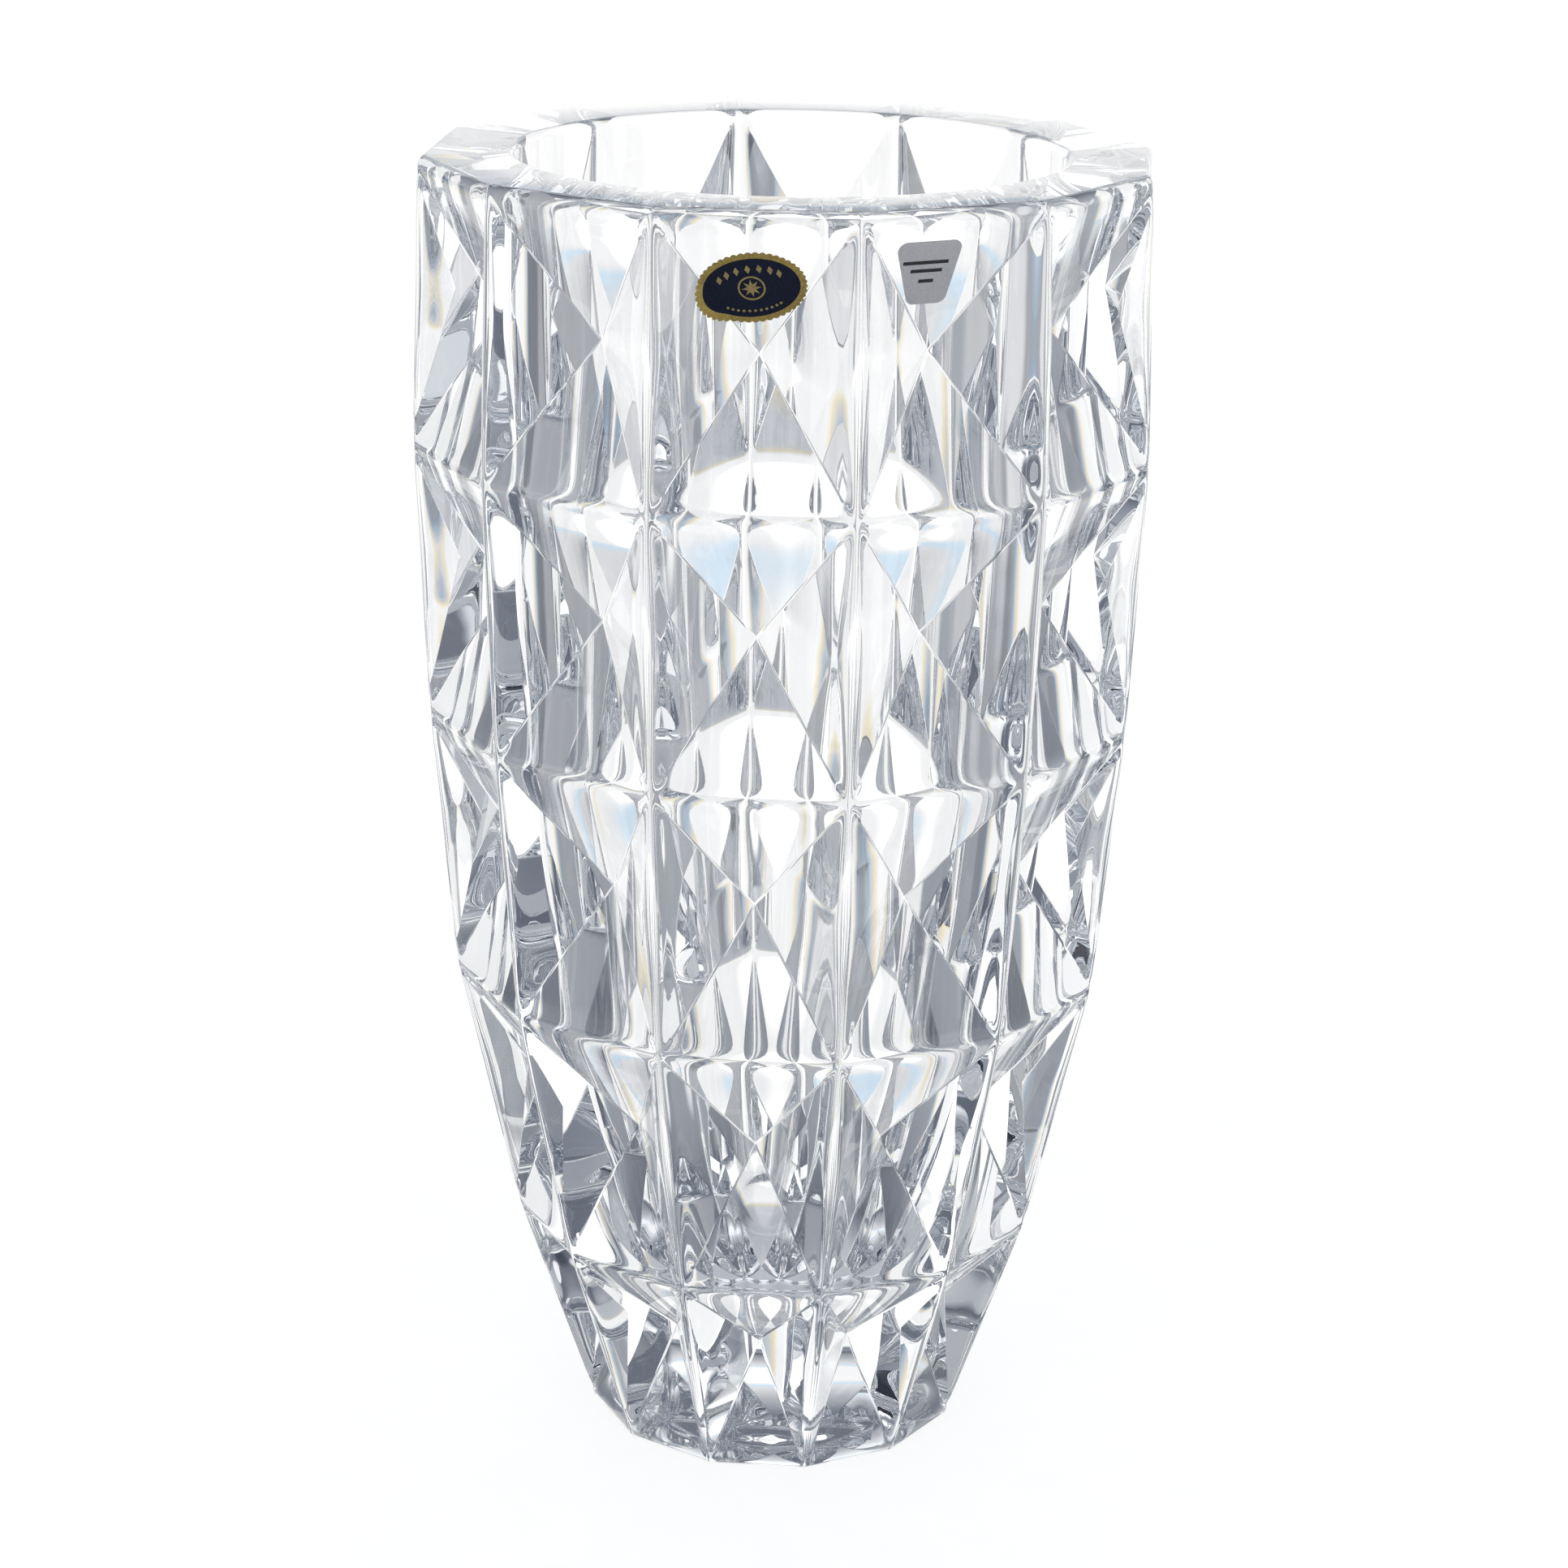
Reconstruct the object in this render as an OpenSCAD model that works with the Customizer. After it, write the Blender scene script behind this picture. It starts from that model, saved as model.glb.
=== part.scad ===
// Heavy cut crystal vase: a twelve-sided barrel in five tiers, every cell cut with a
// recessed four-sided pyramid, a smooth round cavity, and two small stickers under the rim.
// Millimetres. +Z is up, the origin is the middle of the foot, the front flat faces -Y.

/* [Vase] */
// Height from the table to the top of the rim
height = 305; // [220:1:380]
// Radius to the ridges at the rim
rim_r = 83; // [66:0.5:87]
// Radius to the ridges at the first ring below the rim, the widest one
ring_1_r = 84.8; // [70:0.1:102]
// Radius to the ridges at the second ring
ring_2_r = 82; // [70:0.1:99]
// Radius to the ridges at the third ring
ring_3_r = 76.4; // [62:0.1:92]
// Radius to the ridges at the fourth ring
ring_4_r = 62.3; // [51:0.1:75]
// Radius to the ridges at the foot
foot_r = 44.4; // [36:0.1:54]

/* [Tiers and cuts] */
// Height of the fourth ring above the table
foot_tier_h = 54.2; // [40:0.1:66]
// Height of the plain band between the top cells and the rim
rim_band_h = 2.4; // [1.5:0.1:4]
// How far the rim's outer edge is rounded back
rim_edge = 1.8; // [1:0.1:3]
// Height and depth of the bevel round the foot
foot_bevel = 1.8; // [1:0.1:3]
// Width of the rounded strip left along each ridge
ridge_w = 5; // [3:0.1:7]
// Depth of each pyramid cut, square to its panel
cut_depth = 12.8; // [8:0.1:15.4]
// How far the deepest point sits above the middle of a cell in the top tier, fading to none at the foot
cut_rise = 1.8; // [0:0.1:3]

/* [Cavity] */
// Thickness of glass at the rim, in the middle of a flat
rim_wall = 19.5; // [15:0.1:26]
// Rounding of the mouth's inner edge
lip_round = 2; // [1:0.1:4]
// Thickness of solid glass under the cavity
base_t = 24; // [15:1:60]
// Fullness of the cavity: higher keeps the wall upright for longer before it rounds in
cavity_fullness = 2.5; // [2:0.1:3.3]
// Radius of the shallow hollow under the foot
punt_r = 29; // [20:0.5:33]
// Depth of the shallow hollow under the foot
punt_depth = 2.5; // [1:0.1:5]

/* [Oval sticker] */
// Length of the oval sticker
oval_l = 23.4; // [15:0.1:26]
// Height of the oval sticker
oval_h = 17; // [10:0.1:19]
// Turn of the oval sticker, anticlockwise as seen
oval_turn = 10; // [-20:1:20]
// Distance of the oval's middle to the right of the panel's middle
oval_x = -1.2; // [-3:0.1:3]
// Distance of the oval's middle below the top of its cell, along the cut face
oval_drop = 15.6; // [12:0.1:20]
// Width of the gold border
oval_border = 1.5; // [0.8:0.1:2.5]
// Number of scallops round the border
scallops = 46; // [24:2:60]
// Depth of the scallops
scallop_h = 0.4; // [0.1:0.05:0.6]

/* [Grade sticker] */
// Width of the silver sticker at its top
grade_w = 14.6; // [8:0.1:16]
// Width of the silver sticker at its bottom
grade_foot_w = 9.4; // [5:0.1:11]
// Height of the silver sticker
grade_h = 15.2; // [8:0.1:18]
// Corner radius of the silver sticker
grade_corner = 2; // [0.5:0.1:3]
// Distance from the panel's middle to the middle of the silver sticker's top edge
grade_x = -4.9; // [-6:0.1:0]
// Distance of the silver sticker's top edge below the top of its cell
grade_drop = 4.8; // [3:0.1:8]

/* [Foils] */
// Thickness of a sticker's foil
foil_t = 0.15; // [0.1:0.01:0.3]
// Thickness of the print on a foil
print_t = 0.06; // [0.04:0.01:0.15]

/* [Hidden] */

SIDES = 12;
TIERS = 5;
STEP_A = 360 / SIDES;
HALF_A = STEP_A / 2;
FRONT = -90;                 // direction of the panel with the oval sticker
CAVITY_STEPS = 32;
LIP_STEPS = 6;
CAVITY_FN = 96;
OVAL_FN = scallops * 4;

// Rings from the foot up: radius to the ridges, and height
ring_r = [foot_r, ring_4_r, ring_3_r, ring_2_r, ring_1_r, rim_r];
tier_h = (height - foot_tier_h - rim_band_h) / (TIERS - 1);
ring_z = [foot_bevel, for (i = [0 : TIERS - 1]) foot_tier_h + i * tier_h];

// A ring's cell corners: distance of the panel from the axis, and half the cell's width
function panel_d(r) = r * cos(HALF_A) + ridge_w / 2 * sin(HALF_A);
function cell_half_w(r) = r * sin(HALF_A) - ridge_w / 2 * cos(HALF_A);

// Slope of a tier's panel: degrees that it leans outwards from upright
function lean(t) = atan2(panel_d(ring_r[t + 1]) - panel_d(ring_r[t]), ring_z[t + 1] - ring_z[t]);

// Deepest point of the cut in tier t, as [distance from the axis, height]
function rise(t) = cut_rise * t / (TIERS - 1);
function mid_d(t) = (panel_d(ring_r[t]) + panel_d(ring_r[t + 1])) / 2;
function mid_z(t) = (ring_z[t] + ring_z[t + 1]) / 2;
function deep_d(t) = mid_d(t) - cut_depth * cos(lean(t)) + rise(t) * sin(lean(t));
function deep_z(t) = mid_z(t) + cut_depth * sin(lean(t)) + rise(t) * cos(lean(t));

// A point given in a panel's own terms: across it, out from the axis, and up
function on_panel(a, across, out, z) =
    [out * cos(a) - across * sin(a), out * sin(a) + across * cos(a), z];
function ring_points(r, z) =
    [for (i = [0 : SIDES - 1], s = [-1, 1])
        on_panel(FRONT + i * STEP_A, s * cell_half_w(r), panel_d(r), z)];

// The solid's rings: bottom of the foot, the six ridge rings, and the top of the rim
LEVELS = TIERS + 3;
PER_RING = 2 * SIDES;
level_r = [foot_r - foot_bevel, each ring_r, rim_r - rim_edge];
level_z = [0, each ring_z, height];
ring_pts = [for (l = [0 : LEVELS - 1]) each ring_points(level_r[l], level_z[l])];
deep_pts = [for (t = [0 : TIERS - 1], i = [0 : SIDES - 1])
    on_panel(FRONT + i * STEP_A, 0, deep_d(t), deep_z(t))];

function at(l, n) = l * PER_RING + (n + PER_RING) % PER_RING;
function deep_at(t, i) = LEVELS * PER_RING + t * SIDES + i;

// Four cut faces of one cell, which lies between levels t + 1 and t + 2
function cell_faces(t, i) = let (
        a = at(t + 1, 2 * i), b = at(t + 1, 2 * i + 1),
        c = at(t + 2, 2 * i + 1), d = at(t + 2, 2 * i), p = deep_at(t, i))
    [[a, p, b], [b, p, c], [c, p, d], [d, p, a]];
function strip_face(l, n) = [at(l, n), at(l + 1, n), at(l + 1, n + 1), at(l, n + 1)];

glass_faces = [
    [for (n = [0 : PER_RING - 1]) at(0, n)],
    [for (n = [PER_RING - 1 : -1 : 0]) at(LEVELS - 1, n)],
    for (t = [0 : TIERS - 1], i = [0 : SIDES - 1]) each cell_faces(t, i),
    for (t = [0 : TIERS - 1], i = [0 : SIDES - 1]) strip_face(t + 1, 2 * i + 1),
    for (n = [0 : PER_RING - 1]) strip_face(0, n),
    for (n = [0 : PER_RING - 1]) strip_face(LEVELS - 2, n)];

// Cavity outline: upright at the mouth and rounding in to the bottom
mouth_r = panel_d(rim_r) - rim_wall;
cavity_d = height - base_t;
function cavity_r(down) =
    mouth_r * pow(max(0, 1 - pow(down / cavity_d, cavity_fullness)), 1 / cavity_fullness);
// Equal steps of angle crowd the points where the outline turns fastest
cavity_side = [for (i = [1 : CAVITY_STEPS])
    let (down = cavity_d * pow(sin(90 * i / CAVITY_STEPS), 2 / cavity_fullness))
        [i == CAVITY_STEPS ? 0 : cavity_r(down), height - down]];
lip_arc = [for (i = [0 : LIP_STEPS])
    let (a = 90 * i / LIP_STEPS)
        [mouth_r + lip_round * (1 - sin(a)), height - lip_round * (1 - cos(a))]];

// The top face of a sticker's cell: length from its top edge to the deepest point, and slope
top_tier = TIERS - 1;
face_out = panel_d(rim_r) - deep_d(top_tier);
face_tilt = atan2(face_out, ring_z[TIERS] - deep_z(top_tier));

module outside() {
    polyhedron(points = concat(ring_pts, deep_pts), faces = glass_faces, convexity = 10);
}

module cavity() {
    rotate_extrude($fn = CAVITY_FN)
        polygon(concat([[0, height + 1], [mouth_r + lip_round, height + 1]], lip_arc, cavity_side));
}

// Shallow dome, cut by a ball that is wide enough to give the hollow's radius at the table
module punt() {
    ball_r = (punt_r * punt_r + punt_depth * punt_depth) / (2 * punt_depth);
    translate([0, 0, punt_depth - ball_r]) sphere(r = ball_r, $fn = CAVITY_FN * 2);
}

module glass_body() {
    color([0.86, 0.9, 0.94, 0.45]) difference() {
        outside();
        cavity();
        punt();
    }
}

// Space in front of one top cell's cut faces, raised above them by lift
module cell_space(i, lift) {
    reach = 1.6;             // how far past the cell's corners the space runs
    p = on_panel(FRONT + i * STEP_A, 0, deep_d(top_tier), deep_z(top_tier));
    corners = [for (c = [[TIERS, 0], [TIERS, 1], [TIERS + 1, 1], [TIERS + 1, 0]])
        p + reach * (ring_pts[at(c[0], 2 * i + c[1])] - p)];
    on_top_face(i, 0, 0) translate([0, 0, lift]) on_top_face_back(i)
        polyhedron(points = concat([p], corners),
            faces = [[0, 1, 2], [0, 2, 3], [0, 3, 4], [0, 4, 1], [4, 3, 2, 1]]);
}

// Puts things on the top cut face of panel i: X to the right, Y up the face, Z out of it
module on_top_face(i, across, drop) {
    rotate([0, 0, i * STEP_A])
        translate([0, -panel_d(rim_r), ring_z[TIERS]])
            rotate([90 + face_tilt, 0, 0])
                translate([across, -drop, 0]) children();
}

// Takes things from the vase's own frame into that face's frame
module on_top_face_back(i) {
    rotate([-90 - face_tilt, 0, 0])
        translate([0, panel_d(rim_r), -ring_z[TIERS]])
            rotate([0, 0, -i * STEP_A]) children();
}

// A layer that lies on the cut faces of top cell i and fills the outline given as children
module layer(i, across, drop, turn, from, thick) {
    intersection() {
        difference() {
            cell_space(i, from);
            cell_space(i, from + thick);
        }
        on_top_face(i, across, drop) rotate([0, 0, turn])
            translate([0, 0, -1]) linear_extrude(height = 12) children();
    }
}

module oval(inset, wave) {
    polygon([for (n = [0 : OVAL_FN - 1])
        let (a = 360 * n / OVAL_FN, out = wave * abs(cos(scallops * a / 2)) - inset)
            [(oval_l / 2 + out) * cos(a), (oval_h / 2 + out) * sin(a)]]);
}

module on_oval(place, a) {
    translate([(oval_l / 2 - place) * cos(a), (oval_h / 2 - place) * sin(a)]) children();
}

// Plain ornament for the sticker: a ring and star, an arc of lozenges and an arc of dots
module ornament() {
    star_r = 2.1;
    star_points = 8;
    ring_out = 2.9;
    ring_in = 2.5;
    difference() {
        circle(r = ring_out, $fn = 40);
        circle(r = ring_in, $fn = 40);
    }
    polygon([for (n = [0 : 2 * star_points - 1])
        let (a = 180 * n / star_points, r = n % 2 == 0 ? star_r : star_r * 0.45)
            [r * cos(a), r * sin(a)]]);
    for (a = [36 : 18 : 144])
        on_oval(oval_border + 2.4, a) scale([0.6, 1]) circle(r = 1.05, $fn = 4);
    for (a = [-132 : 8 : -48])
        on_oval(oval_border + 1.5, a) circle(r = 0.32, $fn = 12);
}

module oval_layer(from, thick) {
    layer(0, oval_x, oval_drop, oval_turn, from, thick) children();
}

module oval_foil() {
    color([0.72, 0.6, 0.24])
        oval_layer(0, foil_t) oval(scallop_h, scallop_h);
}

module oval_field() {
    color([0.05, 0.08, 0.18])
        oval_layer(foil_t, print_t) oval(oval_border, 0);
}

module oval_device() {
    color([0.72, 0.6, 0.24])
        oval_layer(foil_t + print_t, print_t) ornament();
}

module grade_layer(from, thick) {
    layer(1, grade_x, grade_drop, 0, from, thick) children();
}

// Sticker outline: wider at the top, slanted more on the side that follows the cut's valley
module grade_outline() {
    slant = 0.8;             // share of the narrowing taken by the left side
    narrowing = grade_w - grade_foot_w;
    left = -grade_w / 2 + grade_corner;
    right = grade_w / 2 - grade_corner;
    low = -grade_h + grade_corner;
    hull() {
        for (p = [[left, -grade_corner], [right, -grade_corner],
                  [left + narrowing * slant, low], [right - narrowing * (1 - slant), low]])
            translate(p) circle(r = grade_corner, $fn = 32);
    }
}

// Plain bars where a maker's sticker has its words
module bars() {
    bar_h = 0.8;
    for (row = [[-0.3, -5.4, 10.4], [0.2, -7.4, 7.2], [0.6, -9.9, 3.4]])
        translate([row[0] - row[2] / 2, row[1]]) square([row[2], bar_h]);
}

module grade_foil() {
    color([0.66, 0.66, 0.68])
        grade_layer(0, foil_t) grade_outline();
}

module grade_marks() {
    color([0.1, 0.1, 0.12])
        grade_layer(foil_t, print_t) bars();
}

glass_body();
oval_foil();
oval_field();
oval_device();
grade_foil();
grade_marks();
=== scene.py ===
import math

import bmesh
import bpy
from mathutils import Matrix, Vector
from mathutils.bvhtree import BVHTree


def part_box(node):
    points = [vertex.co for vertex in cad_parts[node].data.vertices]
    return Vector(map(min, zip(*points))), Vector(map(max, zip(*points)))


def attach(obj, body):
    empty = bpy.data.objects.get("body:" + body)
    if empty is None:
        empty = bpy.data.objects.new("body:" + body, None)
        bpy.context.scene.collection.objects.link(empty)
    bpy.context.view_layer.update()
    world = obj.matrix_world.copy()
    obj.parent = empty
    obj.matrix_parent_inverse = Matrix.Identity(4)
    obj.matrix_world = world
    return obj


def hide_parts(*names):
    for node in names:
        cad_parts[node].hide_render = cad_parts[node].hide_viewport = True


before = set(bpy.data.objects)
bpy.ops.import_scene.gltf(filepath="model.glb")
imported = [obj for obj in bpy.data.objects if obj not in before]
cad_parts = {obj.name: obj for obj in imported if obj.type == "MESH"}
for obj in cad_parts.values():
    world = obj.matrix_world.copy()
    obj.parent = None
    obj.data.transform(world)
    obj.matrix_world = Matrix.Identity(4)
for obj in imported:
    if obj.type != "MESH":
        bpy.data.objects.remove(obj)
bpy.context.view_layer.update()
MM = 0.001
BODY = "root"

# ---------------------------------------------------------------- the outside of the glass, in metres
SIDES = 12
HALF = math.pi / SIDES                    # half the angle that one side takes up
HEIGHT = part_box("glass_body")[1][2]
RING_R = [r * MM for r in (44.4, 62.3, 76.4, 82.0, 84.8, 83.0)]   # ridge radii at the rings, foot first
STRIP = 5 * MM                            # width of the flat that the solid model leaves along a ridge
CREST = 0.45 * MM                         # how far a ridge would stand beyond that flat if it were sharp
FOOT_BEVEL = 1.8 * MM
FOOT_TIER = 54.2 * MM                     # height of the top of the lowest tier
RIM_BAND = 2.4 * MM                       # height of the rolled edge above the top ring
RIM_EDGE = 1.8 * MM                       # how far that edge rolls inwards
CUT_DEPTH = 12.8 * MM
CUT_RISE = 1.8 * MM                       # shift of the top tier's deepest point up its face, less below
TIERS = len(RING_R) - 1
TIER = (HEIGHT - FOOT_TIER - RIM_BAND) / (TIERS - 1)
RING_Z = [FOOT_BEVEL] + [FOOT_TIER + i * TIER for i in range(TIERS)]

RIDGE_SOFT = (1.0 * MM, 2.0 * MM)         # softness of a ridge where it meets a ring, and halfway between
RING_SOFT = 1.5 * MM                      # softness of a ring's edge
VALLEY_SOFT = 0.3 * MM                    # half the width of the rounded bottom of a valley
VALLEY_START = 3.9 * MM                   # height above or below a ring at which it starts
VALLEY_END = 3.5 * MM                     # height above or below a ring under which a valley isn't crisp
CORNER_POLISH = ((5.0 * MM, 3), (3.0 * MM, 5))    # reach from a corner of a cell, and rounds of smoothing
CORNER_WIDTH = 0.7                        # reach across a ridge, as a share of the reach along it
END_POLISH = (3.0 * MM, 8)                # the same round the open ends of the barrel
FINE = 15                                 # rows of small faces from the edge of a cell to its deepest point
MERGE = 0.002 * MM                        # distance under which points of neighbouring sides become one

# ---------------------------------------------------------------- the cavity and the foot
RIM_WALL = 19.5 * MM
MOUTH_R = RING_R[-1] * math.cos(HALF) + STRIP / 2 * math.sin(HALF) - RIM_WALL
LIP = 2.0 * MM                            # radius of the rounded edge of the mouth
BASE_T = 24 * MM                          # thickness of the solid base
FULLNESS = 2.5                            # of the cavity's curve: 2 is an ellipse, and more is fuller
PUNT_R = 29 * MM                          # radius of the hollow under the foot
PUNT_DEPTH = 2.5 * MM
TIP = 0.05 * MM                           # least radius of a ring of the cavity, before it closes
PUNT_TIP = 0.02 * MM                      # the same for the hollow under the foot
ROLL_STEPS = 5
LIP_STEPS = 6
CAVITY_ROWS = 60
PUNT_ROWS = 8

# ---------------------------------------------------------------- how the stickers are laid on
DRAPE_STEP = 1.0 * MM                     # size of the patches into which a sticker is divided
DRAPE_START = 8 * MM                      # distance outside the sticker from which the glass is felt for
STICKER_MERGE = 0.005 * MM                # distance under which points of a sticker's solid become one
ON_PLANE = 0.001 * MM                     # distance under which a point counts as on a dividing plane

# ---------------------------------------------------------------- looks
IOR = 1.535
GRAIN_MIDDLE = (0.3, 0.7)                 # values between which most of a grain lies
POLISH = (0.0, 0.006)                     # roughness of the glass, from its glossiest patches to its dullest
WAVE_DEPTH = 0.02 * MM
GLASS_TINT = (0.83, 0.87, 0.925)
GLASS_DENSITY = 3.0
CRINKLE_DEPTH = 0.04 * MM
GLOSS_SPREAD = (-0.06, 0.08)              # how far the roughness of foil and ink strays either way
METAL_SPECULAR = 0.5
INK_SPECULAR = 0.12

# ---------------------------------------------------------------- the studio, with all angles in degrees
# Tones by elevation, of the room round the sides and the front, and of the white paper behind
ROOM = [(-90, 0.58), (-68, 0.48), (-57, 0.13), (-44, 0.21), (-32, 0.35), (-14, 0.42),
        (0, 0.47), (16, 0.41), (32, 0.17), (60, 0.17), (72, 0.4), (90, 0.95)]
PAPER = [(-90, 0.58), (-68, 0.52), (-52, 0.56), (-49, 0.62), (-45, 1.0), (-12, 1.03),
         (14, 1.03), (18, 0.86), (28, 0.5), (90, 0.4)]
PAPER_EDGE = (50, 39)                     # azimuths between which the paper fades in
PAPER_TOP = (44, 26)                      # elevations between which it fades in
# Soft cards and dark flags: azimuth, elevation, inner and outer radius, tone
CARDS = [(0, -12, 14, 20, 1.35), (0, 3, 10, 14, 1.3), (-54, -12, 5, 8, 0.22), (-53, 4, 4, 7, 0.25),
         (54, -22, 4, 7, 0.28), (62, -8, 7, 11, 0.78), (86, -13, 8, 12, 0.58),
         (180, -32, 12, 18, 0.03), (180, 8, 9, 14, 0.02), (180, -57, 7, 10, 1.0)]
# The same for cards that stand in pairs, one on each side
PAIRS = [(150, -13, 8, 11, 1.3), (146, 22, 9, 13, 1.3), (162, 36, 7, 10, 0.8),
         (120, -1, 7, 9, 1.3), (95, 9, 7, 10, 1.1), (114, -28, 9, 12, 0.9)]
NEUTRAL_SIDE = (108, 88)                  # azimuths between which dark tones grow less blue
NEUTRAL_LOW = (-30, -18)                  # and elevations, from below
NEUTRAL_HIGH = (40, 22)                   # and from above
FRINGE_REACH = (3, 2)                     # half the width of a fringe up the paper's side, and along its end
FRINGE_TOP = (24, 16)                     # elevations between which a fringe up the side fades in
COOL_FRINGE = (3, 17)                     # azimuth beyond the middle of the paper's edge, and elevation
WARM_FRINGE = (-2, -48)
# Red, green and blue: power of the tone, its change where neutral, what a cool and a warm fringe add
TINTS = ((1.09, -0.04, -0.22, 0.06), (1.03, -0.01, -0.04, -0.04), (0.92, 0.03, 0.10, -0.30))
FLOOR_SIZE = 8
FLOOR_GLOW = 0.84


def new_piece(name, bm, stands_for, smooth):
    mesh = bpy.data.meshes.new(name)
    bm.to_mesh(mesh)
    bm.free()
    for face in mesh.polygons:
        face.use_smooth = smooth
    piece = bpy.data.objects.new(name, mesh)
    bpy.context.scene.collection.objects.link(piece)
    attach(piece, BODY)
    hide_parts(stands_for)
    return piece


# ---------------------------------------------------------------- one cut cell
def panel_out(i):
    """Distance of a panel of the solid model from the axis, at ring i."""
    return RING_R[i] * math.cos(HALF) + STRIP / 2 * math.sin(HALF)


def deepest(tier):
    """Deepest point of a cell, as (distance from the axis, height)."""
    low, high = panel_out(tier), panel_out(tier + 1)
    lean = math.atan2(high - low, RING_Z[tier + 1] - RING_Z[tier])
    rise = CUT_RISE * tier / (TIERS - 1)
    out = (low + high) / 2 - CUT_DEPTH * math.cos(lean) + rise * math.sin(lean)
    z = (RING_Z[tier] + RING_Z[tier + 1]) / 2 + CUT_DEPTH * math.sin(lean) + rise * math.cos(lean)
    return out, z


def softened(share, reach, soft):
    """How far from an edge a rounded slope has fallen by a share of its depth."""
    straight = share * (math.hypot(reach, soft) - soft)
    return math.sqrt(straight * straight + 2 * straight * soft)


class Quarter:
    """A quarter of one cell, from its corner at a ridge and a ring to the deepest point."""

    def __init__(self, tier, upper):
        ring, other = (tier + 1, tier) if upper else (tier, tier + 1)
        self.deep_out, self.deep_z = deepest(tier)
        self.ring_z = RING_Z[ring]
        self.ring_out = (RING_R[ring] + CREST) * math.cos(HALF)
        self.far_out = (RING_R[other] + CREST) * math.cos(HALF)
        self.slope = (self.far_out - self.ring_out) / (RING_Z[other] - self.ring_z)
        crest = self.crest(self.deep_z)
        self.side_deep = crest - self.deep_out * math.cos(HALF)
        self.side_reach = self.deep_out * math.sin(HALF)

    def crest(self, z):
        """Distance of the sharp ridge from the axis at a height."""
        return (self.ring_out + self.slope * (z - self.ring_z)) / math.cos(HALF)

    def row(self, share):
        """Height and distance from the axis at a row of the facet that meets the ring."""
        reach = abs(self.deep_z - self.ring_z)
        step = softened(share, reach, RING_SOFT)
        z = self.ring_z + math.copysign(step, self.deep_z - self.ring_z)
        return z, self.ring_out - share * (self.ring_out - self.deep_out)

    def side(self, share, z):
        """Place across and out on the facet that meets the ridge, as (across, out)."""
        near, middle = RIDGE_SOFT
        part = abs(z - self.ring_z) / abs(self.deep_z - self.ring_z)
        soft = near + (middle - near) * part
        straight = share * (math.hypot(self.side_reach, middle) - middle)
        away = math.sqrt(straight * straight + 2 * straight * soft)
        inward = self.crest(z) - share * self.side_deep
        across = inward * math.sin(HALF) - away * math.cos(HALF)
        return across, inward * math.cos(HALF) + away * math.sin(HALF)

    def valley(self, share):
        """Share of the side facet's depth at which it meets a row of the other facet."""
        z, out = self.row(share)
        low, high = 0.0, 1.0
        for _ in range(40):
            half = (low + high) / 2
            if self.side(half, z)[1] > out:
                low = half
            else:
                high = half
        return low if share < 1 else 1.0

    def place(self, i, j):
        """Column i from the ridge and row j from the ring, each from 0 to FINE."""
        col, row = (i / FINE) ** 2, (j / FINE) ** 2
        z, out = self.row(row)
        if i < j:
            across, out = self.side(self.valley(row) * col / row, z)
            return across, out, z
        if j == FINE:
            return 0.0, out, z
        widest = self.side(self.valley(row) if j else 0, z)[0]
        return widest * (1 - (col - row) / (1 - row)), out, z


def cut_cell(bm, tier):
    """One cell facing -Y: a grid whose diagonals become the valleys of the cut."""
    grid = bmesh.ops.create_grid(bm, x_segments=2 * FINE, y_segments=2 * FINE, size=FINE)["verts"]
    parts = {True: Quarter(tier, True), False: Quarter(tier, False)}
    places = {}
    valley = []
    for v in grid:
        x, y = round(v.co.x), round(v.co.y)
        i, j, upper = FINE - abs(x), FINE - abs(y), y > 0
        if (i, j, upper) not in places:
            places[i, j, upper] = parts[upper].place(i, j)
        across, out, z = places[i, j, upper]
        v.co = (math.copysign(across, x), -out, z)
        if i == j:
            valley.append(v)
    bmesh.ops.connect_verts(bm, verts=valley)
    for v in valley:
        for edge in v.link_edges:
            if edge.other_vert(v) in valley:
                edge.smooth = False


# ---------------------------------------------------------------- the barrel
def off_ring(z):
    """Height between a level and the nearest ring."""
    return min(abs(z - ring) for ring in RING_Z)


def off_ridge(v):
    """Distance of a point from the nearest ridge, measured across it."""
    angle = math.atan2(v.co.y, v.co.x) - HALF
    step = 2 * HALF
    turn = angle - step * round(angle / step)
    return abs(v.co.xy.length * math.sin(turn))


def smoothed(bm, verts, passes, in_height):
    for _ in range(passes):
        bmesh.ops.smooth_vert(bm, verts=verts, factor=0.5,
                              use_axis_x=True, use_axis_y=True, use_axis_z=in_height)


def soften_valleys(bm):
    """Gives the valleys a narrow rounded bottom, away from the corners of the cells."""
    lines = [e for e in bm.edges if not e.smooth
             and all(off_ring(v.co.z) > VALLEY_START for v in e.verts)]
    made = bmesh.ops.bevel(bm, geom=lines, offset=VALLEY_SOFT, segments=2, profile=0.5,
                           affect="EDGES", material=-1)
    bottom = set(made["faces"])
    for edge in {e for f in bottom for e in f.edges}:
        if any(f not in bottom for f in edge.link_faces):
            edge.smooth = False


def cut_sides(bm):
    """The twelve-sided barrel in tiers of cut cells."""
    for tier in range(TIERS):
        cut_cell(bm, tier)
    soften_valleys(bm)
    bmesh.ops.spin(bm, geom=bm.verts[:] + bm.edges[:] + bm.faces[:], cent=(0, 0, 0), axis=(0, 0, 1),
                   angle=2 * math.pi * (SIDES - 1) / SIDES, steps=SIDES - 1, use_duplicate=True)
    bmesh.ops.remove_doubles(bm, verts=bm.verts[:], dist=MERGE)
    bmesh.ops.recalc_face_normals(bm, faces=bm.faces[:])


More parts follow.
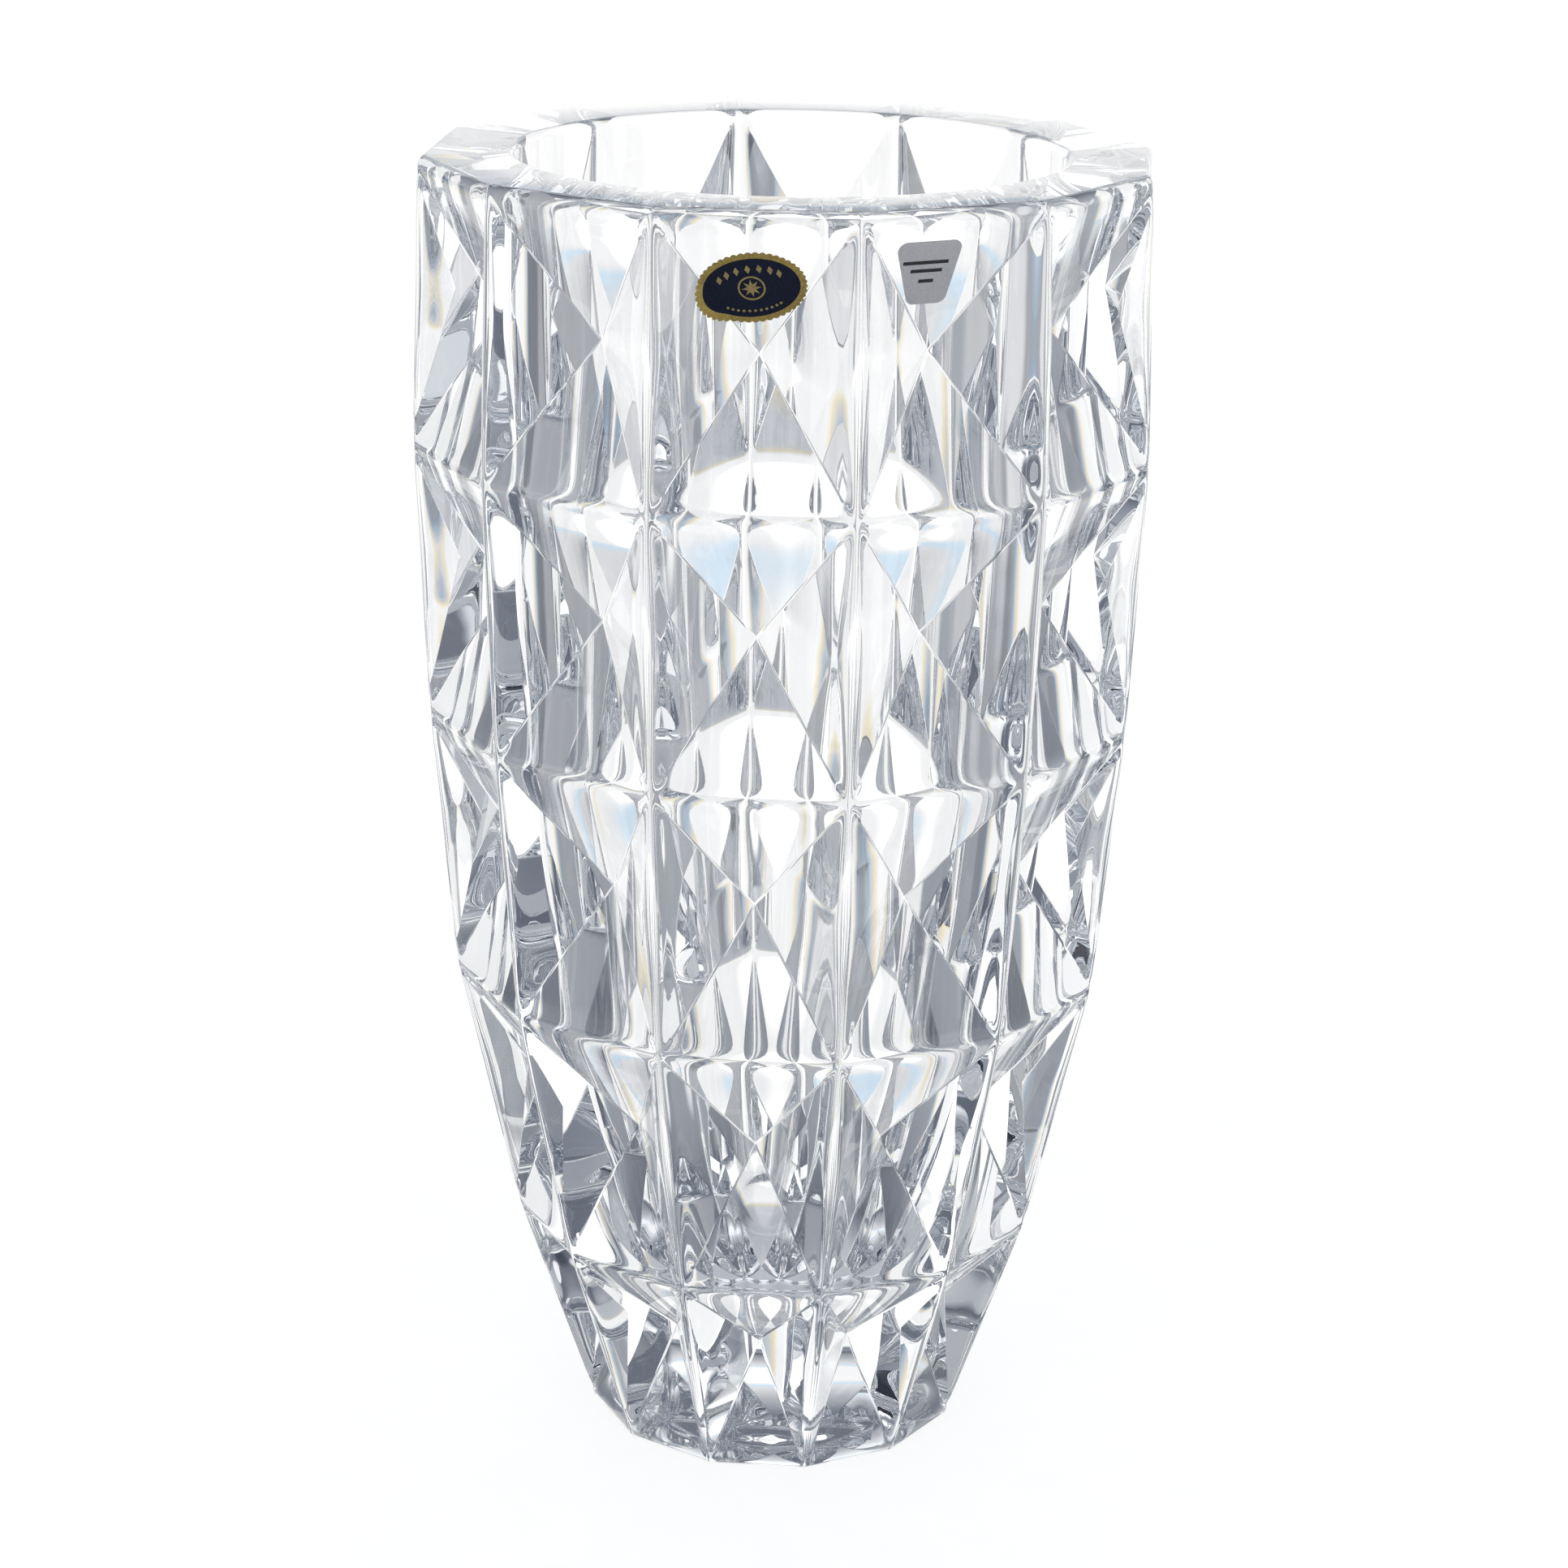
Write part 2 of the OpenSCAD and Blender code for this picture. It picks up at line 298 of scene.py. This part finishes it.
def fire_polish(bm):
    """Softens the corners of the cells, where ridges and rings cross, and leaves the valleys crisp."""
    for reach, passes in CORNER_POLISH:
        near = [v for v in bm.verts if off_ridge(v) < CORNER_WIDTH * reach
                and off_ring(v.co.z) < reach and not v.is_boundary]
        smoothed(bm, near, passes, True)
    for edge in bm.edges:
        middle = (edge.verts[0].co + edge.verts[1].co) / 2
        if off_ring(middle.z) < VALLEY_END:
            edge.smooth = True
    reach, passes = END_POLISH
    ends = [v for v in bm.verts if v.is_boundary and off_ridge(v) < reach]
    smoothed(bm, ends, passes, False)


# ---------------------------------------------------------------- rim, cavity and foot
def boundary_ring(bm, high):
    """The open ring of edges at the top of the barrel, or at its foot."""
    edges = [e for e in bm.edges if e.is_boundary]
    return [e for e in edges if (e.verts[0].co.z > HEIGHT / 2) == high]


def extruded(bm, ring):
    """Extrudes an open ring of edges, and gives the new points and the new open ring."""
    made = bmesh.ops.extrude_edge_only(bm, edges=ring)["geom"]
    verts = [g for g in made if isinstance(g, bmesh.types.BMVert)]
    return verts, [g for g in made if isinstance(g, bmesh.types.BMEdge) and g.is_boundary]


def roll(bm, ring, reach, drop, up):
    """Rolls an open ring round a quarter turn, inwards by reach and up or down by drop."""
    z = ring[0].verts[0].co.z
    radius = sum(e.verts[0].co.xy.length for e in ring) / len(ring)
    now = radius
    for i in range(1, ROLL_STEPS + 1):
        turn = math.pi / 2 * i / ROLL_STEPS
        want = radius - reach * (1 - math.cos(turn))
        verts, ring = extruded(bm, ring)
        bmesh.ops.scale(bm, vec=(want / now, want / now, 1), verts=verts)
        level = z + up * drop * math.sin(turn)
        bmesh.ops.translate(bm, vec=(0, 0, level - verts[0].co.z), verts=verts)
        now = want
    return ring


def turned(bm, ring, outline):
    """Carries an open ring through round sections, each a (radius, height), and closes it at the axis."""
    for radius, z in outline:
        verts, ring = extruded(bm, ring)
        for v in verts:
            v.co = (*(v.co.xy.normalized() * radius), z)
    last = list({v for e in ring for v in e.verts})
    bmesh.ops.pointmerge(bm, verts=last, merge_co=(0, 0, outline[-1][1]))


def cavity_outline():
    """The rounded lip, and the curve that narrows from the mouth to the floor of the cavity."""
    depth = HEIGHT - BASE_T
    points = []
    for i in range(LIP_STEPS + 1):
        turn = math.pi / 2 * i / LIP_STEPS
        points.append((MOUTH_R + LIP * (1 - math.sin(turn)), HEIGHT - LIP * (1 - math.cos(turn))))
    for i in range(1, CAVITY_ROWS + 1):
        down = math.sin(math.pi / 2 * i / CAVITY_ROWS) ** (2 / FULLNESS)
        radius = MOUTH_R * max(0.0, 1 - down ** FULLNESS) ** (1 / FULLNESS)
        z = HEIGHT - depth * down
        if z < HEIGHT - LIP:
            points.append((max(radius, TIP), z))
    return points


def punt_outline():
    """The shallow hollow under the foot, a piece of a ball."""
    ball = (PUNT_R ** 2 + PUNT_DEPTH ** 2) / (2 * PUNT_DEPTH)
    widest = math.asin(PUNT_R / ball)
    angles = [widest * (1 - i / PUNT_ROWS) for i in range(PUNT_ROWS)] + [PUNT_TIP / ball]
    return [(ball * math.sin(a), PUNT_DEPTH - ball * (1 - math.cos(a))) for a in angles]


def glass_body():
    bm = bmesh.new()
    cut_sides(bm)
    fire_polish(bm)
    rim = roll(bm, boundary_ring(bm, True), RIM_EDGE, RIM_BAND, 1)
    turned(bm, rim, cavity_outline())
    foot = roll(bm, boundary_ring(bm, False), FOOT_BEVEL, FOOT_BEVEL, -1)
    turned(bm, foot, punt_outline())
    bmesh.ops.recalc_face_normals(bm, faces=bm.faces[:])
    return new_piece("crystal_body", bm, "glass_body", True)


# ---------------------------------------------------------------- the stickers
def surface(piece):
    """An object's faces as a tree for measuring along rays."""
    bm = bmesh.new()
    bm.from_mesh(piece.data)
    tree = BVHTree.FromBMesh(bm)
    bm.free()
    return tree


def outward(panel):
    """Direction in which the upper facet of a cell of the top tier faces."""
    turn = -math.pi / 2 + panel * 2 * HALF
    rise, run = RING_Z[-1] - deepest(TIERS - 1)[1], panel_out(TIERS) - deepest(TIERS - 1)[0]
    slant = math.hypot(rise, run)
    return Vector((math.cos(turn) * rise / slant, math.sin(turn) * rise / slant, -run / slant))


def divide(bm, out):
    """Divides a sticker that faces out into small patches, by planes that stand square to it."""
    along = Vector((0, 0, 1)).cross(out).normalized()
    for direction in (along, along.cross(out)):
        spots = [v.co.dot(direction) / DRAPE_STEP for v in bm.verts]
        for i in range(math.ceil(min(spots)), math.ceil(max(spots))):
            bmesh.ops.bisect_plane(bm, geom=bm.verts[:] + bm.edges[:] + bm.faces[:], dist=ON_PLANE,
                                   plane_co=direction * i * DRAPE_STEP, plane_no=direction)


def draped(node, name, glass, solid, panel):
    """A sticker's solid, moved square to its facet so that it lies on the rounded glass."""
    out = outward(panel)
    bm = bmesh.new()
    bm.from_mesh(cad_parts[node].data)
    bmesh.ops.remove_doubles(bm, verts=bm.verts[:], dist=STICKER_MERGE)
    bmesh.ops.dissolve_limit(bm, angle_limit=math.radians(1), verts=bm.verts[:], edges=bm.edges[:])
    divide(bm, out)
    for v in bm.verts:
        start = v.co + out * DRAPE_START
        wanted, held = glass.ray_cast(start, -out)[3], solid.ray_cast(start, -out)[3]
        if wanted is not None and held is not None:
            v.co += out * (held - wanted)
    bmesh.ops.recalc_face_normals(bm, faces=bm.faces[:])
    return new_piece(name, bm, node, False)


# ---------------------------------------------------------------- materials
def noise(nodes, links, scale, detail):
    """A grain on the object's own coordinates, scale in patches per metre."""
    coord = nodes.new("ShaderNodeTexCoord")
    grain = nodes.new("ShaderNodeTexNoise")
    grain.inputs["Scale"].default_value = scale
    grain.inputs["Detail"].default_value = detail
    links.new(coord.outputs["Object"], grain.inputs["Vector"])
    return grain.outputs[0]


def between(nodes, links, grain, low, high):
    """Spreads the middle of a grain from low to high."""
    spread = nodes.new("ShaderNodeMapRange")
    spread.inputs["From Min"].default_value = GRAIN_MIDDLE[0]
    spread.inputs["From Max"].default_value = GRAIN_MIDDLE[1]
    spread.inputs["To Min"].default_value = low
    spread.inputs["To Max"].default_value = high
    links.new(grain, spread.inputs["Value"])
    return spread.outputs["Result"]


def bumped(nodes, links, grain, shader, strength, distance):
    bump = nodes.new("ShaderNodeBump")
    bump.inputs["Strength"].default_value = strength
    bump.inputs["Distance"].default_value = distance
    links.new(grain, bump.inputs["Height"])
    links.new(bump.outputs["Normal"], shader.inputs["Normal"])


def new_material(name):
    mat = bpy.data.materials.new(name)
    mat.use_nodes = True
    return mat, mat.node_tree.nodes, mat.node_tree.links


def crystal():
    """Clear crystal with the faint waviness of pressed glass and a slightly uneven polish."""
    mat, nodes, links = new_material("fire_polished_crystal")
    shader = nodes["Principled BSDF"]
    shader.inputs["Base Color"].default_value = (1, 1, 1, 1)
    shader.inputs["IOR"].default_value = IOR
    shader.inputs["Transmission Weight"].default_value = 1.0
    polish = between(nodes, links, noise(nodes, links, 90, 2), *POLISH)
    links.new(polish, shader.inputs["Roughness"])
    bumped(nodes, links, noise(nodes, links, 55, 1), shader, 1.0, WAVE_DEPTH)
    inside = nodes.new("ShaderNodeVolumeAbsorption")
    inside.inputs["Color"].default_value = (*GLASS_TINT, 1)
    inside.inputs["Density"].default_value = GLASS_DENSITY
    links.new(inside.outputs[0], nodes["Material Output"].inputs["Volume"])
    return mat


def printed(name, dark, light, metal, roughness, grain_size):
    """Foil or ink: two close colours in a fine grain, an uneven gloss and a slight crinkle."""
    mat, nodes, links = new_material(name)
    shader = nodes["Principled BSDF"]
    shader.inputs["Metallic"].default_value = metal
    shader.inputs["Specular IOR Level"].default_value = METAL_SPECULAR if metal else INK_SPECULAR
    grain = noise(nodes, links, grain_size, 4)
    mix = nodes.new("ShaderNodeMix")
    mix.data_type = "RGBA"
    mix.inputs["A"].default_value = (*dark, 1)
    mix.inputs["B"].default_value = (*light, 1)
    links.new(between(nodes, links, grain, 0, 1), mix.inputs["Factor"])
    links.new(mix.outputs["Result"], shader.inputs["Base Color"])
    glossy, dull = (roughness + spread for spread in GLOSS_SPREAD)
    uneven = between(nodes, links, noise(nodes, links, 400, 3), glossy, dull)
    links.new(uneven, shader.inputs["Roughness"])
    bumped(nodes, links, noise(nodes, links, 900, 3), shader, 0.35, CRINKLE_DEPTH)
    return mat


def stickers(glass, solid):
    gold = printed("matt_gold_foil", (0.30, 0.215, 0.055), (0.50, 0.38, 0.12), 0.75, 0.38, 2500)
    navy = printed("navy_ink", (0.004, 0.006, 0.016), (0.010, 0.014, 0.034), 0.0, 0.42, 3000)
    stamping = printed("gold_stamping", (0.26, 0.20, 0.08), (0.40, 0.32, 0.14), 0.6, 0.4, 2500)
    silver = printed("silver_foil", (0.52, 0.52, 0.54), (0.62, 0.62, 0.64), 0.55, 0.5, 2200)
    black = printed("black_ink", (0.02, 0.02, 0.024), (0.05, 0.05, 0.055), 0.0, 0.5, 3000)
    for node, name, slot, panel, mat in (
            ("oval_foil", "scalloped_gold_foil", "gold_foil", 0, gold),
            ("oval_field", "navy_oval", "navy_print", 0, navy),
            ("oval_device", "gold_ornament", "gold_print", 0, stamping),
            ("grade_foil", "silver_sticker", "silver_foil", 1, silver),
            ("grade_marks", "dark_bars", "dark_print", 1, black)):
        draped(node, name, glass, solid, panel).data.materials.append(mat)


# ---------------------------------------------------------------- building blocks of the light
def calc(tree, operation, *values):
    """A Math node. Each value is a number or another node's output."""
    node = tree.nodes.new("ShaderNodeMath")
    node.operation = operation
    for socket, value in zip(node.inputs, values):
        if isinstance(value, (int, float)):
            socket.default_value = value
        else:
            tree.links.new(value, socket)
    return node.outputs[0]


def fade(tree, value, off, on):
    """Share that goes smoothly from 0 where the value is off to 1 where it is on."""
    node = tree.nodes.new("ShaderNodeMapRange")
    node.interpolation_type = "SMOOTHSTEP"
    node.inputs["From Min"].default_value = off
    node.inputs["From Max"].default_value = on
    tree.links.new(value, node.inputs["Value"])
    return node.outputs["Result"]


def band(tree, value, middle, reach):
    """Share that is 1 at the middle of a band and fades out on both sides of it."""
    below = fade(tree, value, middle - reach, middle)
    above = fade(tree, value, middle + reach, middle)
    return calc(tree, "MULTIPLY", below, above)


def tones(tree, elevation, marks):
    """Tone by elevation in degrees, from straight down to straight up."""
    ramp = tree.nodes.new("ShaderNodeValToRGB")
    tree.links.new(calc(tree, "MULTIPLY_ADD", elevation, 1 / 180, 0.5), ramp.inputs[0])
    points = ramp.color_ramp.elements
    points[0].position, points[0].color = 0.0, (*[marks[0][1]] * 3, 1)
    points[1].position, points[1].color = 1.0, (*[marks[-1][1]] * 3, 1)
    for angle, tone in marks[1:-1]:
        points.new(angle / 180 + 0.5).color = (tone, tone, tone, 1)
    return ramp.outputs[0]


def laid_over(tree, under, over, share):
    """Share of one tone laid over another."""
    gap = calc(tree, "SUBTRACT", over, under)
    return calc(tree, "MULTIPLY_ADD", gap, share, under)


def card(tree, direction, azimuth, elevation, inner, outer):
    """Share of a soft round card. Azimuth 0 is straight behind the vase and 90 to its right."""
    a, e = math.radians(azimuth), math.radians(elevation)
    dot = tree.nodes.new("ShaderNodeVectorMath")
    dot.operation = "DOT_PRODUCT"
    dot.inputs[1].default_value = (math.sin(a) * math.cos(e), math.cos(a) * math.cos(e), math.sin(e))
    tree.links.new(direction, dot.inputs[0])
    return fade(tree, dot.outputs["Value"], math.cos(math.radians(outer)), math.cos(math.radians(inner)))


def fringe(tree, azimuth, elevation, beyond, up):
    """Share of a narrow band along the paper's edge, which stands in for the glass's own colour fringes."""
    across = sum(PAPER_EDGE) / 2 + beyond
    across_reach, up_reach = FRINGE_REACH
    side = band(tree, azimuth, across, across_reach)
    level = band(tree, elevation, up, up_reach)
    inside = calc(tree, "MULTIPLY", level, fade(tree, azimuth, across + across_reach, across))
    return calc(tree, "MAXIMUM", calc(tree, "MULTIPLY", side, fade(tree, elevation, *FRINGE_TOP)), inside)


# ---------------------------------------------------------------- stage, light and camera
def angles(tree, direction):
    """Azimuth from straight behind the vase, alike to both sides, and elevation, both in degrees."""
    split = tree.nodes.new("ShaderNodeSeparateXYZ")
    tree.links.new(direction, split.inputs[0])
    x, y, z = split.outputs
    degrees = 180 / math.pi
    azimuth = calc(tree, "MULTIPLY", calc(tree, "ABSOLUTE", calc(tree, "ARCTAN2", x, y)), degrees)
    return azimuth, calc(tree, "MULTIPLY", calc(tree, "ARCSINE", z), degrees)


def studio_tone(tree, direction, azimuth, elevation):
    """Tone of the room, with the white paper, the cards and the flags laid over it in turn."""
    room = tones(tree, elevation, ROOM)
    paper = tones(tree, elevation, PAPER)
    share = calc(tree, "MULTIPLY", fade(tree, azimuth, *PAPER_EDGE), fade(tree, elevation, *PAPER_TOP))
    tone = laid_over(tree, room, paper, share)
    pairs = [(side * pair[0], *pair[1:]) for pair in PAIRS for side in (1, -1)]
    for *place, bright in CARDS + pairs:
        tone = laid_over(tree, tone, bright, card(tree, direction, *place))
    return tone


def tinted(tree, tone, azimuth, elevation):
    """Colour for a tone: bluer where it is dark, and cool or warm in the fringes along the paper."""
    level = calc(tree, "MULTIPLY", fade(tree, elevation, *NEUTRAL_LOW), fade(tree, elevation, *NEUTRAL_HIGH))
    neutral = calc(tree, "MULTIPLY", fade(tree, azimuth, *NEUTRAL_SIDE), level)
    cool = fringe(tree, azimuth, elevation, *COOL_FRINGE)
    warm = fringe(tree, azimuth, elevation, *WARM_FRINGE)
    mixed = tree.nodes.new("ShaderNodeCombineXYZ")
    for socket, (power, change, blue, amber) in zip(mixed.inputs, TINTS):
        shade = calc(tree, "POWER", tone, calc(tree, "MULTIPLY_ADD", neutral, change, power))
        cast = calc(tree, "MULTIPLY_ADD", cool, blue, calc(tree, "MULTIPLY_ADD", warm, amber, 1.0))
        tree.links.new(calc(tree, "MULTIPLY", shade, cast), socket)
    return mixed.outputs[0]


def white_to_camera(tree, colour):
    """Light of the studio's colour, with plain white where the camera sees past the vase."""
    lit = tree.nodes.new("ShaderNodeBackground")
    tree.links.new(colour, lit.inputs["Color"])
    seen = tree.nodes.new("ShaderNodeBackground")
    seen.inputs["Color"].default_value = (1, 1, 1, 1)
    mix = tree.nodes.new("ShaderNodeMixShader")
    tree.links.new(tree.nodes.new("ShaderNodeLightPath").outputs["Is Camera Ray"], mix.inputs[0])
    tree.links.new(lit.outputs[0], mix.inputs[1])
    tree.links.new(seen.outputs[0], mix.inputs[2])
    return mix.outputs[0]


def studio():
    """White paper behind and under the vase, greyer sides, and soft lights and dark flags in front."""
    world = bpy.data.worlds.new("studio")
    bpy.context.scene.world = world
    world.use_nodes = True
    tree = world.node_tree
    tree.nodes.clear()
    direction = tree.nodes.new("ShaderNodeTexCoord").outputs["Generated"]
    azimuth, elevation = angles(tree, direction)
    tone = studio_tone(tree, direction, azimuth, elevation)
    light = white_to_camera(tree, tinted(tree, tone, azimuth, elevation))
    tree.links.new(light, tree.nodes.new("ShaderNodeOutputWorld").inputs["Surface"])


def paper_floor():
    bpy.ops.mesh.primitive_plane_add(size=FLOOR_SIZE)
    floor = bpy.context.object
    floor.name = "floor"
    floor.visible_transmission = False
    floor.visible_glossy = False
    mat, nodes, links = new_material("white_paper")
    shader = nodes["Principled BSDF"]
    tone = between(nodes, links, noise(nodes, links, 60, 3), 0.48, 0.52)
    links.new(tone, shader.inputs["Base Color"])
    shader.inputs["Roughness"].default_value = 0.9
    shader.inputs["Emission Color"].default_value = (1, 1, 1, 1)
    shader.inputs["Emission Strength"].default_value = FLOOR_GLOW
    floor.data.materials.append(mat)


def camera():
    cam = bpy.data.objects.new("camera", bpy.data.cameras.new("camera"))
    bpy.context.scene.collection.objects.link(cam)
    azimuth, pitch, tilt = (math.radians(a) for a in (4.96, 18.13, 0.849))
    away, height, aside = 0.8559, 0.4365, 0.000446
    cam.data.lens = 88.0
    cam.data.sensor_width = 36
    cam.data.clip_start = 0.01
    place = Matrix.Rotation(azimuth, 4, "Z") @ Matrix.Translation((aside, -away, height))
    down = Matrix.Rotation(math.pi / 2 - pitch, 4, "X")
    cam.matrix_world = place @ down @ Matrix.Rotation(tilt, 4, "Z")
    bpy.context.scene.camera = cam


def view_and_bounces(scene):
    scene.view_settings.view_transform = "Standard"
    scene.cycles.max_bounces = 32
    scene.cycles.transmission_bounces = 32
    scene.cycles.glossy_bounces = 16
    scene.cycles.transparent_max_bounces = 16
    scene.cycles.use_denoising = True


glass = glass_body()
glass.data.materials.append(crystal())
stickers(surface(glass), surface(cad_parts["glass_body"]))
studio()
paper_floor()
camera()
view_and_bounces(bpy.context.scene)
